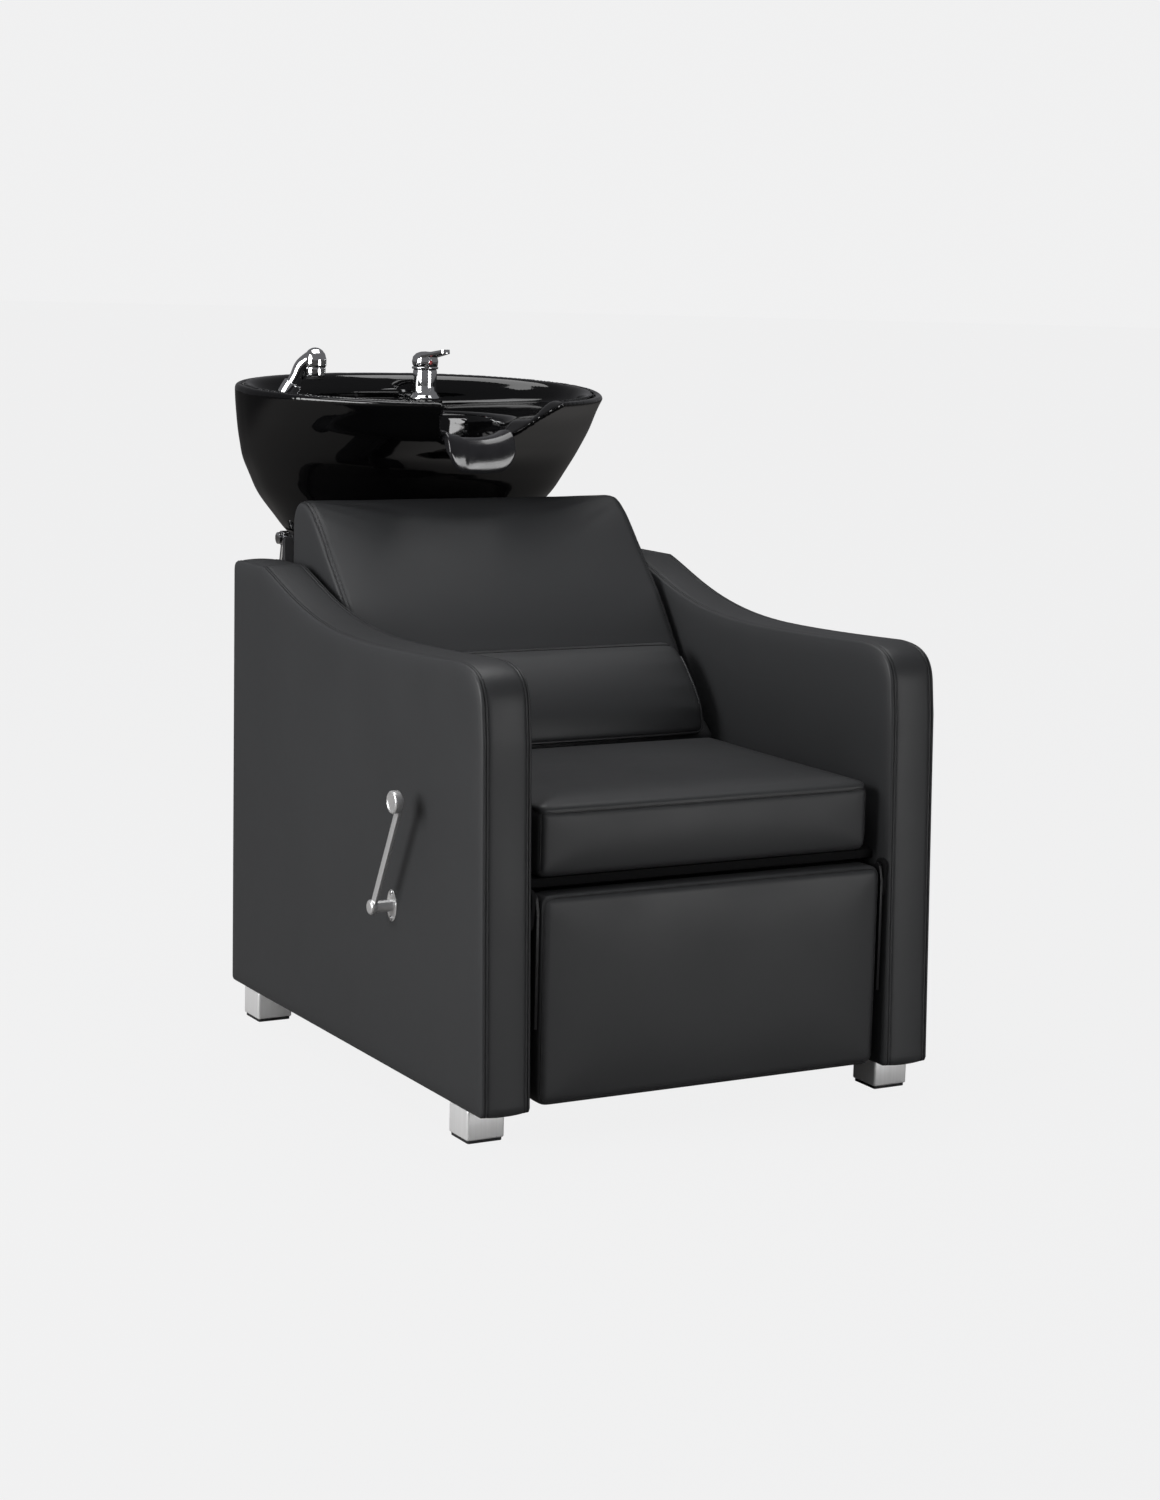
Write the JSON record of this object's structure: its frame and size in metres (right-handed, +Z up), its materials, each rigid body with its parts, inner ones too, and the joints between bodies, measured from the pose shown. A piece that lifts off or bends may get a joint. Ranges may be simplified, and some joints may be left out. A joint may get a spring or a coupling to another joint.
{
  "type": "shampoo backwash unit",
  "caption": "Upholstered salon shampoo chair with sculpted arms, lumbar pillow and lever-raised footrest, joined to a tilting ceramic wash basin on a steel stand.",
  "frame": {"origin": "on the floor, under the middle of the overall box", "axes": "+Z up; +Y from the footrest towards the basin; +X to the right as seen from in front of the chair, so the lever is on the -X side"},
  "size_m": [0.724, 1.075, 0.97],
  "materials": {
    "leather": "satin",
    "plywood": "matte",
    "black_steel": "satin",
    "chrome": "polished",
    "satin_steel": "satin",
    "foot_metal": "satin",
    "glaze": "gloss",
    "gel": "gloss",
    "rubber": "matte",
    "black_plastic": "satin",
    "nylon": "satin"
  },
  "bodies": {
    "chassis": {"arm_left": "leather", "arm_right": "leather", "foot_front_left": "foot_metal", "foot_front_right": "foot_metal", "foot_rear_left": "foot_metal", "foot_rear_right": "foot_metal", "foot_pad_front_left": "rubber", "foot_pad_front_right": "rubber", "foot_pad_rear_left": "rubber", "foot_pad_rear_right": "rubber", "front_rail": "plywood", "rear_rail": "plywood", "seat_deck": "plywood", "back_panel": "black_plastic", "seat_cushion": "leather", "backrest": "leather", "lumbar_pillow": "leather", "footrest_hinge_plate_left": "black_steel", "footrest_hinge_plate_right": "black_steel", "shaft_bearing_left": "nylon", "shaft_bearing_right": "nylon", "lever_escutcheon": "satin_steel", "escutcheon_screw_upper": "satin_steel", "escutcheon_screw_lower": "satin_steel", "stand_base_plate": "black_steel", "stand_column": "black_steel", "stand_column_cap": "black_plastic", "yoke_crossbar": "black_steel", "tie_beam": "black_steel", "yoke_stay_left": "chrome", "yoke_stay_right": "chrome", "pivot_bolt_left": "chrome", "pivot_bolt_right": "chrome"},
    "drive": {"drive_shaft": "satin_steel", "lever_arm": "satin_steel", "lever_knob": "satin_steel", "crank_left": "black_steel", "crank_right": "black_steel"},
    "coupler_links": {"link_left": "satin_steel", "link_right": "satin_steel"},
    "footrest": {"footrest_pad": "leather", "footrest_board": "plywood", "footrest_bracket_left": "black_steel", "footrest_bracket_right": "black_steel"},
    "basin_unit": {"basin": "glaze", "neck_rest": "gel", "tilt_strap": "black_steel", "drain_flange": "chrome", "drain_tailpiece": "black_plastic", "mixer_body": "chrome", "inlet_tail_hot": "satin_steel", "inlet_tail_cold": "satin_steel", "shower_holder": "chrome"},
    "mixer_swivel": {"mixer_ring": "chrome"},
    "mixer_lever": {"mixer_lever": "chrome"},
    "handset": {"shower_handset": "chrome", "shower_face": "rubber"},
    "strainer": {"drain_strainer": "chrome"}
  },
  "joints": [
    {"name": "lever_pull", "type": "hinge", "parent": "chassis", "child": "drive", "pos_m": [0, -0.2765, 0.267], "axis": [-1, 0, 0], "range_deg": [0, 75]},
    {"name": "footrest_swing", "type": "hinge", "parent": "chassis", "child": "footrest", "pos_m": [0, -0.5175, 0.318], "axis": [-1, 0, 0], "range_deg": [0, 75]},
    {"name": "link_swing", "type": "hinge", "parent": "drive", "child": "coupler_links", "pos_m": [0, -0.2215, 0.172], "axis": [-1, 0, 0], "range_deg": [-75, 0]},
    {"name": "basin_tilt", "type": "hinge", "parent": "chassis", "child": "basin_unit", "pos_m": [0.022, 0.4105, 0.684], "axis": [1, 0, 0], "range_deg": [-4, 10]},
    {"name": "mixer_turn", "type": "hinge", "parent": "basin_unit", "child": "mixer_swivel", "pos_m": [0.084, 0.4745, 0.935], "axis": [0, 0, 1], "range_deg": [-45, 45]},
    {"name": "mixer_open", "type": "hinge", "parent": "mixer_swivel", "child": "mixer_lever", "pos_m": [0.084, 0.4745, 0.942], "axis": [-1, 0, 0], "range_deg": [0, 20]},
    {"name": "handset_lift", "type": "slide", "parent": "basin_unit", "child": "handset", "axis": [0.4145, -0.2796, 0.866], "range_m": [0, 0.15]},
    {"name": "strainer_lift", "type": "slide", "parent": "basin_unit", "child": "strainer", "axis": [0, 0, 1], "range_m": [0, 0.06]}
  ],
  "couplings": [
    {"joint": "footrest_swing", "follows": "lever_pull", "ratio": 1},
    {"joint": "link_swing", "follows": "lever_pull", "ratio": -1}
  ]
}
